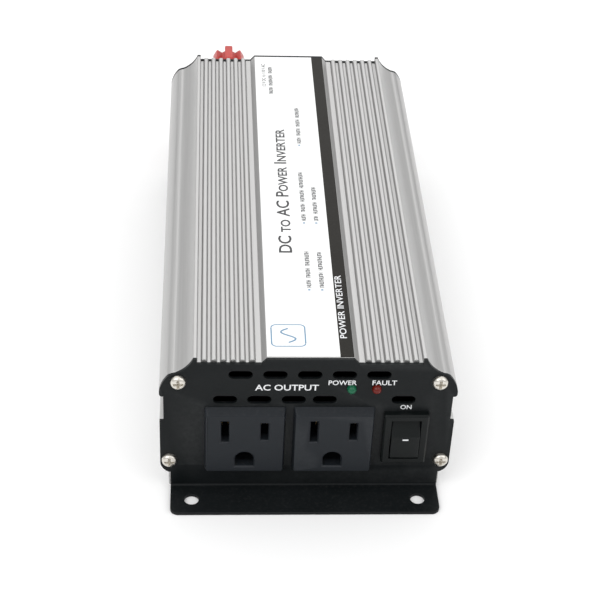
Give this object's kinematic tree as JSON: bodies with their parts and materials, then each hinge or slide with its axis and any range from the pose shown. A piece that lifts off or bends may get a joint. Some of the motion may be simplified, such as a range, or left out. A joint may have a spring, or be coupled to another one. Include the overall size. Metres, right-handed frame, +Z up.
{
  "type": "power inverter",
  "caption": "Compact DC to AC power inverter: finned aluminium case, black end panels with mounting flanges, AC outlets, rocker switch, fan and DC screw terminals.",
  "frame": {"origin": "centre of the four mounting holes, on the surface that the inverter is bolted to", "axes": "+X to the right seen from the AC outlets, +Y from the outlets towards the DC terminals, along the case, +Z up from the mounting surface"},
  "size_m": [0.0952, 0.2243, 0.0556],
  "materials": {
    "case": "natural anodised, satin",
    "panel": "black powder coat, satin",
    "screw": "nickel plated",
    "label": "printed film, white with a dark stripe",
    "outlet": "black thermoplastic, fine grain",
    "contact": "formed strip",
    "switch": "black moulded nylon",
    "green_lens": "tinted clear epoxy",
    "red_lens": "tinted clear epoxy",
    "tinned": "tinned",
    "circuit_board": "green solder mask",
    "red_plastic": "red moulded plastic",
    "black_plastic": "black moulded plastic",
    "guard": "plated wire",
    "film": "clear insulating film",
    "ferrite": "dark sintered ferrite",
    "bobbin": "black moulding",
    "tape": "yellow polyester tape",
    "capacitor": "dark shrink sleeve",
    "heat_bar": "sawn bar and pressed strip",
    "fuse": "green translucent grip",
    "wire": "black insulation"
  },
  "bodies": {
    "housing": {"back_panel": "panel", "back_panel_screws": "screw", "blade_fuses": "fuse", "bottom_case": "case", "buzzer": "switch", "choke": "ferrite", "clamp_screws": "screw", "control_board": "circuit_board", "control_chips": "black_plastic", "fan_frame": "switch", "fan_guard": "guard", "fan_nuts": "screw", "fan_screws": "screw", "fan_wires": "wire", "fault_lamp": "red_lens", "front_panel": "panel", "front_panel_screws": "screw", "fuse_clips": "contact", "ground_nuts": "screw", "ground_screw": "screw", "ground_washer": "screw", "heat_bars": "heat_bar", "indicator_board": "circuit_board", "input_capacitors": "capacitor", "input_transistors": "black_plastic", "insulating_sheet": "film", "label_plate": "label", "lamp_leads": "tinned", "left_outlet_back": "outlet", "left_outlet_contacts": "contact", "left_outlet_housing": "outlet", "main_board": "circuit_board", "negative_bush": "black_plastic", "outlet_wires": "wire", "output_capacitors": "capacitor", "output_transistors": "black_plastic", "positive_bush": "red_plastic", "power_lamp": "green_lens", "right_outlet_back": "outlet", "right_outlet_contacts": "contact", "right_outlet_housing": "outlet", "switch_housing": "switch", "switch_terminals": "contact", "switch_wires": "wire", "terminal_inner_washers": "black_plastic", "terminal_leads": "wire", "terminal_lugs": "tinned", "terminal_nuts": "screw", "terminal_studs": "contact", "top_case": "case", "transformer_bobbins": "bobbin", "transformer_cores": "ferrite", "transformer_windings": "tape", "transistor_clamps": "heat_bar"},
    "switch_rocker": {"switch_rocker": "switch"},
    "fan_rotor": {"fan_rotor": "switch"},
    "positive_washer": {"positive_washer": "screw"},
    "positive_knob": {"positive_knob": "red_plastic"},
    "negative_washer": {"negative_washer": "screw"},
    "negative_knob": {"negative_knob": "black_plastic"}
  },
  "joints": [
    {"name": "rocker_tilt", "type": "hinge", "parent": "housing", "child": "switch_rocker", "pos_m": [0.03185, -0.0956, 0.0235], "axis": [1, 0, 0], "range_deg": [0, 21]},
    {"name": "fan_spin", "type": "hinge", "parent": "housing", "child": "fan_rotor", "pos_m": [0.0165, 0.095, 0.0308], "axis": [0, 1, 0], "continuous": true},
    {"name": "positive_travel", "type": "slide", "parent": "housing", "child": "positive_washer", "axis": [0, 1, 0], "range_m": [0, 0.005]},
    {"name": "positive_turn", "type": "hinge", "parent": "positive_washer", "child": "positive_knob", "pos_m": [-0.024, 0.1017, 0.0428], "axis": [0, 1, 0], "range_deg": [0, 1836]},
    {"name": "negative_travel", "type": "slide", "parent": "housing", "child": "negative_washer", "axis": [0, 1, 0], "range_m": [0, 0.005]},
    {"name": "negative_turn", "type": "hinge", "parent": "negative_washer", "child": "negative_knob", "pos_m": [-0.024, 0.1017, 0.0185], "axis": [0, 1, 0], "range_deg": [0, 1836]}
  ],
  "couplings": [
    {"joint": "positive_turn", "follows": "positive_travel", "rad_per_m": 6283.2},
    {"joint": "negative_turn", "follows": "negative_travel", "rad_per_m": 6283.2}
  ]
}
